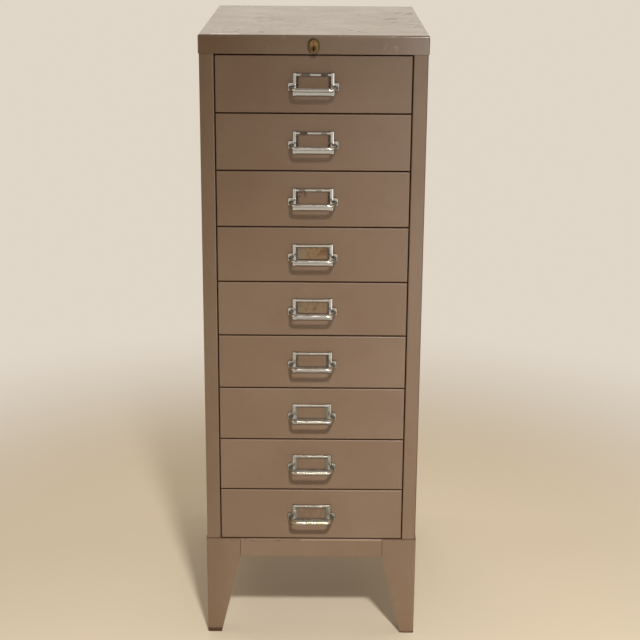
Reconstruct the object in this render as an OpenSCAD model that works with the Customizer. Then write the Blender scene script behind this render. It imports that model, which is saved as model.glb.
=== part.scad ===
// Engineers cabinet: nine shallow drawers in a folded steel case on a stand with tapered legs.
// One key turns a long spindle, and its crank lifts a hooked bar that holds every drawer shut.
// X is to the right, Y to the back and Z up. The origin is on the floor, under the middle of
// the whole cabinet, pulls included.

/* [Case] */
// Width over the side panels
body_w = 396; // [370:1:440]
// Depth over the side panels
body_d = 531; // [500:1:580]
// Sheet thickness of the case
case_t = 1; // [0.8:0.1:1.3]
// Outside radius of the folds
fold_r = 2; // [1.8:0.1:3]
// Width of the stile at each side of the drawers
stile_w = 25.5; // [22:0.5:32]
// Depth of the stile's inner return
return_d = 22; // [20:0.5:28]
// Width of the rear flange of each side panel
rear_flange_w = 16; // [12:1:24]
// Depth of the rail behind the cap's skirt
rail_d = 20; // [12:1:24]

/* [Top cap] */
// Sheet thickness of the cap
cap_t = 1.2; // [1:0.1:1.6]
// Outside radius of the fold between the top and the skirt
cap_r = 3.5; // [2:0.1:3.5]
// Outside radius of the skirt's upright corners
cap_corner_r = 2.5; // [1.5:0.1:3]
// Height of the skirt
skirt_h = 32.5; // [31:0.5:40]
// Clearance between the skirt and the case
cap_gap = 0.3; // [0.2:0.05:0.6]

/* [Drawers] */
// Distance from one drawer to the next
pitch = 101.6; // [96:0.2:110]
// Gap between one drawer front and the next
row_gap = 2; // [1.6:0.1:3]
// Gap between a drawer front and the stile
side_gap = 1.8; // [1.2:0.1:2.6]
// Depth of the folded drawer front
pan_d = 18; // [14:0.5:19]
// Sheet thickness of the drawer front
front_t = 0.9; // [0.7:0.1:1.2]
// Radius along the edges of the drawer front
front_r = 1.8; // [1.4:0.1:2.4]
// Sheet thickness of the tray
tray_t = 0.8; // [0.7:0.1:1.2]
// Gap between the tray and the stile's return
tray_gap = 3; // [2:0.5:5]
// Height of the tray's bottom above the front's lower edge
tray_rise = 8; // [7.5:0.1:10]
// Depth of the tray's rim below the front's upper edge
tray_drop = 11.6; // [8:0.2:16]
// Height of the hem round the tray's rim
hem_h = 6; // [4:0.5:9]
// Space between the tray and the back panel
rear_space = 29; // [27:0.5:40]
// How far a drawer pulls out
drawer_travel = 400; // [300:5:410]

/* [Runners] */
// Sheet thickness of the runners
runner_t = 1.2; // [1:0.1:1.5]
// Height of the runner on the side panel
runner_h = 20; // [14:1:30]
// How far the runner reaches under the tray
runner_bear = 11.5; // [8:0.5:20]
// Running gap between the tray and the runner
run_gap = 0.25; // [0.2:0.05:0.4]
// Height of the turned-up stop at the runner's rear end
stop_h = 12; // [8:1:18]
// Clearance at a stop
stop_gap = 0.3; // [0.2:0.05:0.5]

/* [Label frame] */
// Width of the label frame
frame_w = 72; // [68:0.5:78]
// Height of the label frame
frame_h = 39; // [38:0.5:43]
// Distance from the drawer front's upper edge to the frame
frame_drop = 30; // [24:0.5:32]
// Sheet thickness of the frame
frame_t = 0.9; // [0.7:0.1:1]
// How far the side columns stand out from the front
frame_stand = 3.4; // [3.2:0.1:4.5]
// Width of a side column
column_w = 5.6; // [5:0.1:7]
// Width of the window
window_w = 53; // [50:0.5:55]
// Height of the window
window_h = 24; // [20:0.5:25]
// Distance from the frame's upper edge to the window
window_drop = 5; // [4.5:0.5:6]
// Depth of the slot that holds a card
slot_d = 1.2; // [1:0.1:1.4]

/* [Pull loop] */
// Radius of the bar
bar_r = 3.2; // [2.8:0.1:3.4]
// Distance from the drawer front to the middle of the bar
loop_reach = 27.5; // [24:0.5:32]
// Radius of the loop's corners, to the middle of the bar
loop_corner_r = 9; // [6:0.5:11]
// Angle at which each arm spreads towards its ear
arm_splay = 14; // [8:1:18]
// Distance from the middle of the frame to each ear
ear_x = 39.6; // [39.6:0.1:41]
// Height of an ear
ear_h = 13; // [12.5:0.5:15]
// Height of the ear's middle above the bar
ear_rise = 2.2; // [0:0.1:2.2]
// Distance from the frame's upper edge to the middle of the bar
ear_drop = 25.7; // [24:0.1:27]

/* [Lock] */
// Distance from the top of the cap to the middle of the lock
lock_drop = 18.5; // [17.5:0.1:18.8]
// Width of the oval lock body
lock_w = 14.6; // [13.6:0.1:16]
// Height of the oval lock body
lock_h = 22; // [21:0.1:22.6]
// Rim of the dark plate round the lock body
plate_rim = 1.8; // [1.2:0.1:1.8]
// Radius of the turning plug
plug_r = 5.2; // [4.8:0.1:5.4]
// Radius of the long spindle
spindle_r = 4; // [3.5:0.1:4.5]
// Radial clearance of a turning part in its bore
turn_gap = 0.05; // [0.03:0.01:0.08]
// Throw of the crank at the spindle's rear end
crank_throw = 8; // [7:0.5:9]

/* [Locking bar] */
// Width of the locking bar
bar_w = 28; // [22:1:34]
// Thickness of the locking bar
bar_t = 2.5; // [2:0.1:3]
// Distance from the tray to the bar
bar_space = 11; // [10.5:0.5:14]
// Width of the catches and hooks
catch_w = 12; // [10:0.5:16]
// Thickness of the catch on each tray
catch_t = 1.5; // [1.2:0.1:2]
// Thickness of the hooks on the bar
hook_t = 2; // [1.5:0.1:2.5]
// Clearance between a catch and its hook
catch_clear = 1.2; // [1:0.1:1.6]

/* [Stand] */
// Height of the stand
stand_h = 199; // [160:1:240]
// How far the stand stands out past the case on every side
stand_over = 1.5; // [1:0.1:3]
// Height of the rails between the legs
apron_h = 38.5; // [32:0.5:48]
// Width of a leg at the rails
leg_top_w = 64.5; // [58:0.5:80]
// Width of a leg at the floor
leg_foot_w = 26.5; // [22:0.5:40]
// Sheet thickness of the legs and rails
stand_t = 2; // [1.5:0.1:2.5]
// Outside radius of the leg's corner
leg_r = 3; // [2.6:0.1:5]
// Width of the flange that carries the case
flange_w = 22; // [20:0.5:26]
// Radius of a stand bolt's shank
bolt_r = 4; // [3:0.5:4]

/* [Hidden] */
$fn = 48;
drawer_count = 9;
drawers = [for (n = [1:drawer_count]) n];

paint = [0.54, 0.46, 0.37];
bare_steel = [0.66, 0.67, 0.66];
chrome = [0.83, 0.83, 0.80];
brass = [0.72, 0.58, 0.33];
dark_bronze = [0.20, 0.16, 0.12];

// Case
cap_over = cap_t + cap_gap;
half_w = body_w / 2;
front_y = (body_d + max(cap_over, stand_over) + loop_reach + bar_r) / -2 + loop_reach + bar_r;
rear_y = front_y + body_d;
total_h = stand_h + drawer_count * pitch + row_gap / 2 + skirt_h;
under_cap = total_h - cap_t;
rail_z = total_h - skirt_h;
stile_in = half_w - stile_w;
wall_in = half_w - case_t;
back_in = rear_y - 2 * case_t;
fold_in = fold_r - case_t;
cap_fold_in = inner_r(cap_r, cap_t);
rail_r = max(fold_r, cap_fold_in);
seat_gap = 0.1;
cap_relief = cap_fold_in - sqrt(max(0, cap_gap * (2 * cap_fold_in - cap_gap))) + seat_gap;
back_lip = 14;
floor_space = 2;
floor_y = front_y + return_d + floor_space;

// Drawers
front_w = 2 * (stile_in - side_gap);
front_h = pitch - row_gap;
tray_half = stile_in - tray_gap;
tray_h = front_h - tray_rise - tray_drop;
tray_y = front_y + pan_d;
tray_d = back_in - rear_space - tray_y;
weld_lap = 7;
lug_y = front_y + return_d + stop_gap + drawer_travel;
lug_t = 1.5;
lug_foot = 14;
lug_grip = 3;
lug_z = 24;
lug_h = 14;
function drawer_z(n) = stand_h + (drawer_count - n) * pitch + row_gap / 2;

// Floor panel, low enough for the lowest runner
floor_lip = 3;
floor_clear = 1.5;
floor_flange = row_gap / 2 + tray_rise - run_gap - runner_t - floor_clear;

// Label frame and loop
frame_r = 1.5;
top_bar_inset = 0.3;
top_bar_gap = 1;
bottom_bar_d = 3.8;
bottom_bar_r = 1.7;
ear_wall = 0.8;
ear_d = 3;
ear_r = 2.5;
ear_recess = 0.4;
ear_floor = 0.8;
ear_out = ear_x + bar_r + ear_recess + ear_wall;
ear_z = front_h - frame_drop - ear_drop;
neck = 4;
spigot_r = 2.2;
spigot_fit = 0.15;
peen_r = 3.8;
peen_t = 1.6;
neck_bend_r = 8;
arm_y = loop_reach - loop_corner_r + loop_corner_r * sin(arm_splay);
arm_length = (arm_y - neck - neck_bend_r * sin(arm_splay)) / cos(arm_splay);
loop_half = ear_x - neck_bend_r * (1 - cos(arm_splay)) - arm_length * sin(arm_splay)
    - loop_corner_r * cos(arm_splay);
bend_swell = 0.05;
bend_lap = 0.5;

// Locking bar and crank
rest_angle = 45;
bar_lift = 2 * crank_throw * sin(rest_angle);
bar_y = tray_y + tray_d + bar_space;
lip_drop = bar_lift + catch_clear;
lip_reach = bar_space - catch_clear - seat_gap;
hook_reach = 2 * catch_clear + catch_t + hook_t - seat_gap;
hook_drop = lip_drop + catch_clear + bar_lift;
strip_bend = 0.5;
catch_below_rim = 20;
catch_foot = 12;
hook_foot = 12;
bar_below = 4;
head_w = 40;
head_half = 8;
pin_r = 2.5;
pin_clear = 0.35;
pin_end = 1;
crank_t = 4;
crank_hub_r = 7;
crank_clear = 0.4;
function catch_z(n) = drawer_z(n) + tray_rise + tray_h - catch_below_rim;

// Lock
skirt_y = front_y - cap_over;
lock_z = total_h - lock_drop;
lock_proud = 6.5;
lock_bevel = 0.9;
lock_len = 24;
lock_hole = 0.2;
lock_flange_t = 2;
lock_flange_rim = 0.7;
plate_t = 3;
plate_step = 1.2;
plate_inset = 1.2;
plate_fit = 0.1;
plug_z = lock_z - (lock_h - lock_w) / 2;
plug_proud = 0.4;
plug_past = 1;
plug_end = skirt_y + lock_len + plug_past;
keyway_w = 3;
keyway_h = 6.8;
keyway_d = 14;
tang_w = 6;
tang_t = 2;
tang_l = 7;
tang_fit = 0.15;
slot_z = plug_z - crank_throw * sin(rest_angle);
head_z = slot_z - head_half;

// Brackets behind the trays
guide_t = 1.5;
guide_gap = 0.3;
guide_h = 14;
guide_foot = 12;
guide_rows = [4, 8];
bracket_space = 4;
bracket_half = head_w / 2 + bracket_space;
bracket_h = 18;
bracket_t = 2;

// Stand
stand_half = half_w + stand_over;
stand_front = front_y - stand_over;
stand_rear = rear_y + stand_over;
apron_z = stand_h - apron_h;
seam = 0.3;
tab_l = 20;
tab_lap = 10;
tab_edge = 4;
low_flange_w = 12;
bolt_in = 12;
bolt_along = 45;
bolt_fit = 0.3;
bolt_head_r = 7;
bolt_head_h = 5;
nut_r = 7;
nut_h = 3.6;
nut_fit = 0.1;
bolt_end = 0.6;

// A box between two opposite corners
module block(low, high) {
    translate(low) cube(high - low);
}

// Outlines drawn in the plane across X, Y or Z and drawn out along that axis
module along_x(from, to) {
    translate([from, 0, 0]) rotate([90, 0, 90]) linear_extrude(to - from) children();
}

module along_y(from, to) {
    translate([0, to, 0]) rotate([90, 0, 0]) linear_extrude(to - from) children();
}

module along_z(from, to) {
    translate([0, 0, from]) linear_extrude(to - from) children();
}

// A folded angle with its outer corner at the origin, one leg along X and one along Y
module angle2d(leg_x, leg_y, r, t) {
    translate([r, r]) intersection() {
        difference() {
            circle(r);
            circle(r - t);
        }
        translate([-r, -r]) square(r);
    }
    translate([r, 0]) square([leg_x - r, t]);
    translate([0, r]) square([t, leg_y - r]);
}

// A rectangle from y = 0 to y = d whose two corners at y = 0 are round
module soft_edge2d(w, d, r) {
    translate([-w / 2, r]) square([w, d - r]);
    translate([r - w / 2, 0]) square([w - 2 * r, d]);
    for (side = [-1, 1]) translate([side * (w / 2 - r), r]) circle(r);
}

// An upright oval with straight sides
module oval2d(w, h) {
    for (side = [-1, 1]) translate([0, side * (h - w) / 2]) circle(w / 2);
    square([w, h - w], center = true);
}

// A slab whose front face, at y = 0, is rounded along all four edges
module soft_slab(w, h, d, r) {
    intersection() {
        along_z(-h / 2, h / 2) soft_edge2d(w, d, r);
        along_x(-w / 2, w / 2) mirror([1, -1]) soft_edge2d(h, d, r);
    }
}

// A strip with two folds: a leg down from the web's near end and one down or up from its far end.
// The web's upper near edge is at the origin, and the web runs along X
module folded_strip2d(web, near_leg, far_leg, far_up, t) {
    r = t + strip_bend;
    mirror([0, 1]) angle2d(web - r, near_leg, r, t);
    translate([web, far_up ? -t : 0]) mirror([1, 0]) mirror([0, far_up ? 0 : 1])
        angle2d(web - r, far_leg, r, t);
}

// A rectangle round the origin with four round corners
module soft_rect2d(w, h, r) {
    square([w - 2 * r, h], center = true);
    square([w, h - 2 * r], center = true);
    for (x = [-1, 1], z = [-1, 1]) translate([x * (w / 2 - r), z * (h / 2 - r)]) circle(r);
}

// The inside radius of a folded pan's edges
function inner_r(r, t) = max(r - t, t / 2);

// A folded pan with four returns, open at the back
module folded_pan(w, h, d, r, t) {
    difference() {
        soft_slab(w, h, d, r);
        translate([0, t, 0]) soft_slab(w - 2 * t, h - 2 * t, d, inner_r(r, t));
    }
}

// An open tub with rounded long edges, from y = 0 to y = d
module tub(half, h, d, r, t) {
    difference() {
        along_y(0, d) soft_edge2d(2 * half, h, r);
        along_y(t, d - t) translate([0, t]) soft_edge2d(2 * (half - t), h, r - t);
    }
}

// Case
module right_panel() {
    along_z(stand_h, under_cap - cap_relief) {
        translate([half_w, front_y]) mirror([1, 0])
            angle2d(stile_w - fold_r, body_d - fold_r, fold_r, case_t);
        translate([stile_in, front_y]) angle2d(2 * fold_r, return_d, fold_r, case_t);
        translate([half_w, rear_y]) rotate(180)
            angle2d(rear_flange_w, 2 * fold_r, fold_r, case_t);
    }
}

module right_side_panel() {
    color(paint) right_panel();
}

module left_side_panel() {
    color(paint) mirror([1, 0, 0]) right_panel();
}

// The back panel, folded forward at its top to carry the cap
module back_panel() {
    color(paint) along_x(fold_in - wall_in, wall_in - fold_in)
        translate([back_in + case_t, under_cap]) rotate(180)
            angle2d(back_lip, under_cap - stand_h, rail_r, case_t);
}

module floor_panel() {
    color(paint) difference() {
        union() {
            translate([0, floor_y, stand_h])
                tub(wall_in, floor_flange, back_in - floor_y, fold_r, case_t);
            at_stand_bolts() along_z(stand_h + case_t, stand_h + case_t + nut_h) circle(nut_r, $fn = 6);
        }
        block([-half_w, floor_y - 1, stand_h + floor_lip],
              [half_w, floor_y + case_t, stand_h + floor_flange + 1]);
        at_stand_bolts() along_z(stand_h - 1, stand_h + case_t + nut_h + 1) circle(bolt_r + nut_fit);
    }
}

module top_cap() {
    w = body_w + 2 * cap_over;
    d = body_d + 2 * cap_over;
    inner_corner = inner_r(cap_corner_r, cap_t);
    color(paint) difference() {
        translate([0, (front_y + rear_y) / 2, 0]) difference() {
            cap_shape(w, d, total_h, cap_r, cap_corner_r);
            cap_shape(w - 2 * cap_t, d - 2 * cap_t, under_cap, cap_fold_in, inner_corner);
        }
        lock_opening();
    }
}

// The cap's outer or inner shape, down to the skirt's lower edge
module cap_shape(w, d, top_z, r, corner_r) {
    intersection() {
        translate([0, 0, top_z]) rotate([-90, 0, 0]) soft_slab(w, d, top_z - rail_z, r);
        along_z(rail_z, top_z) soft_rect2d(w, d, corner_r);
    }
}

module front_top_rail() {
    color(paint) difference() {
        translate([0, front_y, (rail_z + under_cap) / 2])
            folded_pan(2 * stile_in, under_cap - rail_z, rail_d, rail_r, case_t);
        lock_opening();
    }
}

module lock_opening() {
    translate([0, 0, lock_z]) along_y(skirt_y - 1, front_y + case_t + 1)
        oval2d(lock_w + 2 * lock_hole, lock_h + 2 * lock_hole);
}

// Runners: one folded angle on the side panel for each drawer, turned up at its rear end
module right_runner_set() {
    edge_x = tray_half - runner_bear;
    stop_y = tray_y + tray_d + stop_gap;
    for (n = drawers) {
        top_z = drawer_z(n) + tray_rise - run_gap;
        translate([wall_in, 0, top_z - runner_t]) mirror([1, 0, 0])
            along_y(floor_y, stop_y + runner_t)
                angle2d(wall_in - edge_x, runner_h, fold_r, runner_t);
        block([edge_x, stop_y, top_z - runner_t], [tray_half, stop_y + runner_t, top_z + stop_h]);
    }
}

module right_runners() {
    color(bare_steel) right_runner_set();
}

module left_runners() {
    color(bare_steel) mirror([1, 0, 0]) right_runner_set();
}

// Drawers
module drawer_front(n) {
    color(paint) translate([0, front_y, drawer_z(n)]) difference() {
        union() {
            translate([0, 0, front_h / 2]) folded_pan(front_w, front_h, pan_d, front_r, front_t);
            block([front_t - front_w / 2, pan_d - front_t, front_t / 2],
                  [front_w / 2 - front_t, pan_d, tray_rise + weld_lap]);
            block([front_t - front_w / 2, pan_d - front_t, front_h - tray_drop - weld_lap],
                  [front_w / 2 - front_t, pan_d, front_h - front_t / 2]);
        }
        for (side = [-1, 1]) translate([side * ear_x, 0, ear_z])
            along_y(-1, front_t + 1) circle(spigot_r + spigot_fit);
    }
}

module drawer_tray(n) {
    color(paint) translate([0, tray_y, drawer_z(n) + tray_rise]) {
        tub(tray_half, tray_h, tray_d, fold_r, tray_t);
        tray_hem();
        tray_catch();
        for (side = [0, 1]) mirror([side, 0, 0]) stop_lug();
    }
}

module tray_hem() {
    difference() {
        block([tray_t / 2 - tray_half, tray_t / 2, tray_h - hem_h],
              [tray_half - tray_t / 2, tray_d - tray_t / 2, tray_h]);
        block([2 * tray_t - tray_half, 2 * tray_t, tray_h - hem_h - 1],
              [tray_half - 2 * tray_t, tray_d - 2 * tray_t, tray_h + 1]);
    }
}

// The folded strip welded to the tray's rear wall, whose lip hangs over a hook of the locking bar
module tray_catch() {
    translate([0, tray_d + seat_gap, tray_h - catch_below_rim + catch_t])
        along_x(catch_w / -2, catch_w / 2)
            folded_strip2d(lip_reach, catch_foot + catch_t, lip_drop + catch_t, false, catch_t);
}

// The lug on the tray's side that meets the stile's return at the end of the travel
module stop_lug() {
    y = lug_y - tray_y;
    reach = tray_gap + case_t + lug_grip;
    block([tray_half - tray_t / 2, y, lug_z], [tray_half + reach, y + lug_t, lug_z + lug_h]);
    block([tray_half - tray_t / 2, y, lug_z], [tray_half + lug_t, y + lug_foot, lug_z + lug_h]);
}

// Label frame: folded side columns with a lip that holds a card, and a bar above and below
module drawer_label_frame(n) {
    color(chrome) translate([0, front_y, drawer_z(n) + front_h - frame_drop]) {
        for (side = [0, 1]) mirror([side, 0, 0]) {
            frame_column();
            frame_ear();
        }
        along_x(column_w - frame_w / 2, frame_w / 2 - column_w)
            translate([top_bar_inset - frame_stand, -(window_drop + top_bar_gap) / 2]) mirror([1, -1])
                soft_edge2d(window_drop - top_bar_gap, frame_stand - top_bar_inset - slot_d, frame_t);
        along_x(frame_w / -2, frame_w / 2)
            translate([-bottom_bar_d, -(window_drop + window_h + frame_h) / 2]) mirror([1, -1])
                soft_edge2d(frame_h - window_drop - window_h, bottom_bar_d, bottom_bar_r);
    }
}

module frame_column() {
    step_x = frame_w / 2 - column_w;
    along_z(-frame_h, 0) {
        translate([frame_w / 2, -frame_stand]) mirror([1, 0])
            angle2d(column_w, frame_stand, frame_r, frame_t);
        translate([step_x, -frame_stand]) square([frame_t, frame_stand - slot_d]);
        translate([window_w / 2, -slot_d - frame_t])
            square([step_x + frame_t - window_w / 2, frame_t]);
    }
}

module frame_ear() {
    translate([0, 0, -ear_drop]) difference() {
        along_y(-ear_d, 0) translate([ear_out, ear_rise]) rotate(90)
            soft_edge2d(ear_h, ear_out - frame_w / 2 + frame_t, ear_r);
        translate([ear_x, 0]) along_y(-ear_d - 1, -ear_floor) circle(bar_r + ear_recess);
        translate([ear_x, 0]) along_y(-ear_d - 1, 1) circle(spigot_r + spigot_fit);
    }
}

// Pull loop: one bent bar, shouldered in the ears and closed over inside the drawer front
module drawer_pull_loop(n) {
    color(chrome) translate([0, front_y, drawer_z(n) + ear_z])
        for (side = [0, 1]) mirror([side, 0, 0]) loop_side();
}

// The straight stretches end inside the bends, which are a trace thicker
module loop_side() {
    straight_r = bar_r - bend_swell;
    corner_x = loop_half + loop_corner_r * cos(arm_splay);
    translate([-bar_r, -loop_reach, 0]) rotate([0, 90, 0])
        cylinder(loop_half + bar_r + bend_lap, straight_r, straight_r);
    translate([loop_half, loop_corner_r - loop_reach, 0]) rotate(-90)
        rotate_extrude(angle = 90 - arm_splay) translate([loop_corner_r, 0]) circle(bar_r);
    translate([corner_x, -arm_y, 0]) rotate([-90, 0, -arm_splay]) translate([0, 0, -bend_lap])
        cylinder(arm_length + 2 * bend_lap, straight_r, straight_r);
    translate([ear_x - neck_bend_r, -neck, 0]) rotate(-arm_splay)
        rotate_extrude(angle = arm_splay) translate([neck_bend_r, 0]) circle(bar_r);
    translate([ear_x, 0, 0]) {
        along_y(-neck - bend_lap, -ear_floor) circle(straight_r);
        along_y(-neck / 2, front_t + peen_t) circle(spigot_r);
        along_y(front_t, front_t + peen_t) circle(peen_r);
    }
}

// Lock
module lock_body() {
    color(brass) difference() {
        translate([0, 0, lock_z]) {
            along_y(skirt_y - lock_proud + lock_bevel, skirt_y + lock_len) oval2d(lock_w, lock_h);
            along_y(skirt_y - lock_proud, skirt_y)
                oval2d(lock_w - 2 * lock_bevel, lock_h - 2 * lock_bevel);
            along_y(front_y + case_t, front_y + case_t + lock_flange_t)
                oval2d(lock_w + 2 * lock_flange_rim, lock_h + 2 * lock_flange_rim);
        }
        translate([0, 0, plug_z])
            along_y(skirt_y - lock_proud - 1, skirt_y + lock_len + 1) circle(plug_r + turn_gap);
    }
}

module lock_plate() {
    rim = 2 * plate_rim;
    hole = 2 * plate_fit;
    color(dark_bronze) translate([0, 0, lock_z]) difference() {
        union() {
            along_y(skirt_y - plate_t + plate_step, skirt_y)
                oval2d(lock_w + rim + 2 * plate_inset, lock_h + rim);
            along_y(skirt_y - plate_t, skirt_y) oval2d(lock_w + rim, lock_h + rim - 2 * plate_inset);
        }
        along_y(skirt_y - plate_t - 1, skirt_y + 1) oval2d(lock_w + hole, lock_h + hole);
    }
}

module lock_plug() {
    front = skirt_y - lock_proud - plug_proud;
    color(brass) translate([0, 0, plug_z]) {
        difference() {
            along_y(front, plug_end) circle(plug_r);
            block([keyway_w / -2, front - 1, keyway_h / -2], [keyway_w / 2, front + keyway_d, keyway_h / 2]);
        }
        block([tang_w / -2, plug_end - 1, tang_t / -2], [tang_w / 2, plug_end + tang_l, tang_t / 2]);
    }
}

// The spindle, slotted for the plug's tang, with its crank and crank pin
module lock_spindle() {
    crank_y = bar_y - crank_clear - crank_t;
    slot = tang_t / 2 + tang_fit;
    color(bare_steel) translate([0, 0, plug_z]) {
        difference() {
            along_y(plug_end + tang_fit, crank_y + crank_t) circle(spindle_r);
            block([-spindle_r - 1, plug_end, -slot],
                  [spindle_r + 1, plug_end + tang_l + tang_fit, slot]);
        }
        along_y(crank_y, crank_y + crank_t) circle(crank_hub_r);
        rotate([0, -180 - rest_angle, 0]) {
            along_y(crank_y, crank_y + crank_t) {
                translate([0, -pin_r - guide_t]) square([crank_throw, 2 * (pin_r + guide_t)]);
                translate([crank_throw, 0]) circle(pin_r + guide_t);
            }
            translate([crank_throw, 0]) along_y(crank_y, bar_y + bar_t + pin_end) circle(pin_r);
        }
    }
}

// The bearing for the spindle's rear end, on two arms that pass the bar's head
module spindle_bracket() {
    plate_y = bar_y - crank_clear - crank_t - crank_clear - bracket_t;
    color(bare_steel) translate([0, 0, plug_z]) difference() {
        union() {
            block([-bracket_half - bracket_t, plate_y, bracket_h / -2],
                  [bracket_half + bracket_t, plate_y + bracket_t, bracket_h / 2]);
            for (side = [0, 1]) mirror([side, 0, 0]) {
                block([bracket_half, plate_y, bracket_h / -2],
                      [bracket_half + bracket_t, back_in, bracket_h / 2]);
                block([bracket_half, back_in - bracket_t, bracket_h / -2],
                      [bracket_half + bracket_t + guide_foot, back_in, bracket_h / 2]);
            }
        }
        along_y(plate_y - 1, plate_y + bracket_t + 1) circle(spindle_r + turn_gap);
    }
}

// The locking bar: a strip with a hook for each catch, and a cross slot for the crank pin in its head
module lock_bar() {
    low_z = catch_z(drawer_count) - hook_drop - hook_t - hook_foot - bar_below;
    pin_room = pin_r + pin_clear;
    color(bare_steel) {
        along_y(bar_y, bar_y + bar_t) difference() {
            union() {
                translate([bar_w / -2, low_z]) square([bar_w, head_z + 1 - low_z]);
                translate([head_w / -2, head_z]) square([head_w, 2 * head_half]);
            }
            translate([-crank_throw - pin_room, slot_z - pin_room])
                square([crank_throw * (1 - cos(rest_angle)) + 2 * pin_room, 2 * pin_room]);
        }
        for (n = drawers) bar_hook(catch_z(n) - hook_drop);
    }
}

// A hook welded to the strip; when the bar is up, it stands between a tray and its catch's lip
module bar_hook(web_z) {
    translate([0, bar_y - seat_gap, web_z]) along_x(catch_w / -2, catch_w / 2) mirror([1, 0])
        folded_strip2d(hook_reach, hook_foot + hook_t, bar_lift + hook_t, true, hook_t);
}

// Three sleeves that hold the bar against the back panel; its head rests on the highest
module bar_guide(low_z) {
    half = bar_w / 2 + guide_gap;
    near_y = bar_y - guide_gap - guide_t;
    far_y = bar_y + bar_t + guide_gap + guide_t;
    high_z = low_z + guide_h;
    for (y = [near_y, far_y - guide_t])
        block([-half - guide_t, y, low_z], [half + guide_t, y + guide_t, high_z]);
    for (side = [0, 1]) mirror([side, 0, 0]) {
        block([half, near_y, low_z], [half + guide_t, back_in, high_z]);
        block([half, back_in - guide_t, low_z], [half + guide_foot, back_in, high_z]);
    }
}

module lock_bar_guides() {
    color(bare_steel) {
        bar_guide(head_z - stop_gap - guide_h);
        for (row = guide_rows) bar_guide((catch_z(row) + catch_z(row + 1) - guide_h) / 2);
    }
}

// Stand
module at_stand_bolts() {
    for (x = [-1, 1], y = [stand_front + bolt_along, stand_rear - bolt_along])
        translate([x * (stand_half - bolt_in), y, 0]) children();
}

module leg_outline2d() {
    polygon([[0, 0], [leg_foot_w, 0], [leg_top_w, apron_z], [leg_top_w, stand_h], [0, stand_h]]);
}

// One tapered leg with its outer corner at the origin, reaching along X and Y
module tapered_leg() {
    difference() {
        union() {
            intersection() {
                along_z(0, stand_h) angle2d(leg_top_w, leg_top_w, leg_r, stand_t);
                union() {
                    along_y(0, leg_r) leg_outline2d();
                    along_x(0, leg_r) leg_outline2d();
                }
            }
            block([stand_t / 2, stand_t / 2, stand_h - stand_t], [leg_top_w, flange_w, stand_h]);
            block([stand_t / 2, stand_t / 2, stand_h - stand_t], [flange_w, leg_top_w, stand_h]);
            block([stand_t / 2, stand_t / 2, 0], [leg_foot_w, leg_foot_w, stand_t]);
        }
        translate([bolt_in, bolt_along, 0])
            along_z(stand_h - stand_t - 1, stand_h + 1) circle(bolt_r + bolt_fit);
    }
}

module front_left_leg() {
    color(paint) translate([-stand_half, stand_front, 0]) tapered_leg();
}

module front_right_leg() {
    color(paint) translate([stand_half, stand_front, 0]) mirror([1, 0, 0]) tapered_leg();
}

module rear_left_leg() {
    color(paint) translate([-stand_half, stand_rear, 0]) mirror([0, 1, 0]) tapered_leg();
}

module rear_right_leg() {
    color(paint) translate([stand_half, stand_rear, 0]) mirror([1, 0, 0]) mirror([0, 1, 0])
        tapered_leg();
}

// A rail with its outer face at y = 0, and a tab at each end that laps behind a leg
module stand_rail(length) {
    half = length / 2;
    along_x(-half, half) {
        translate([0, apron_z]) angle2d(low_flange_w, apron_h - leg_r, stand_t, stand_t);
        translate([0, stand_h]) mirror([0, 1]) angle2d(flange_w, 2 * leg_r, stand_t, stand_t);
    }
    for (side = [0, 1]) mirror([side, 0, 0])
        block([half - tab_lap, stand_t, apron_z + tab_edge],
              [half + tab_l, 2 * stand_t, stand_h - stand_t - seam]);
}

module front_stand_rail() {
    color(paint) translate([0, stand_front, 0]) stand_rail(2 * (stand_half - leg_top_w - seam));
}

module rear_stand_rail() {
    color(paint) translate([0, stand_rear, 0]) mirror([0, 1, 0])
        stand_rail(2 * (stand_half - leg_top_w - seam));
}

module right_rail() {
    translate([stand_half, (stand_front + stand_rear) / 2, 0]) rotate(90)
        stand_rail(stand_rear - stand_front - 2 * (leg_top_w + seam));
}

module right_stand_rail() {
    color(paint) right_rail();
}

module left_stand_rail() {
    color(paint) mirror([1, 0, 0]) right_rail();
}

module stand_bolts() {
    under = stand_h - stand_t;
    color(bare_steel) at_stand_bolts() {
        along_z(under - bolt_head_h, under) circle(bolt_head_r, $fn = 6);
        along_z(under - 1, stand_h + case_t + nut_h + bolt_end) circle(bolt_r);
    }
}

left_side_panel();
right_side_panel();
back_panel();
floor_panel();
top_cap();
front_top_rail();
left_runners();
right_runners();
for (n = drawers) {
    drawer_front(n);
    drawer_tray(n);
    drawer_label_frame(n);
    drawer_pull_loop(n);
}
lock_body();
lock_plate();
lock_plug();
lock_spindle();
spindle_bracket();
lock_bar();
lock_bar_guides();
front_stand_rail();
rear_stand_rail();
left_stand_rail();
right_stand_rail();
front_left_leg();
front_right_leg();
rear_left_leg();
rear_right_leg();
stand_bolts();
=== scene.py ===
# Engineers cabinet: nine shallow steel drawers with label-frame pulls, on a stand with tapered legs.
# Places and sizes on the cabinet are in millimetres, those of the studio around it in metres.
import math
import bpy
import bmesh
from mathutils import Matrix, Vector


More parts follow.
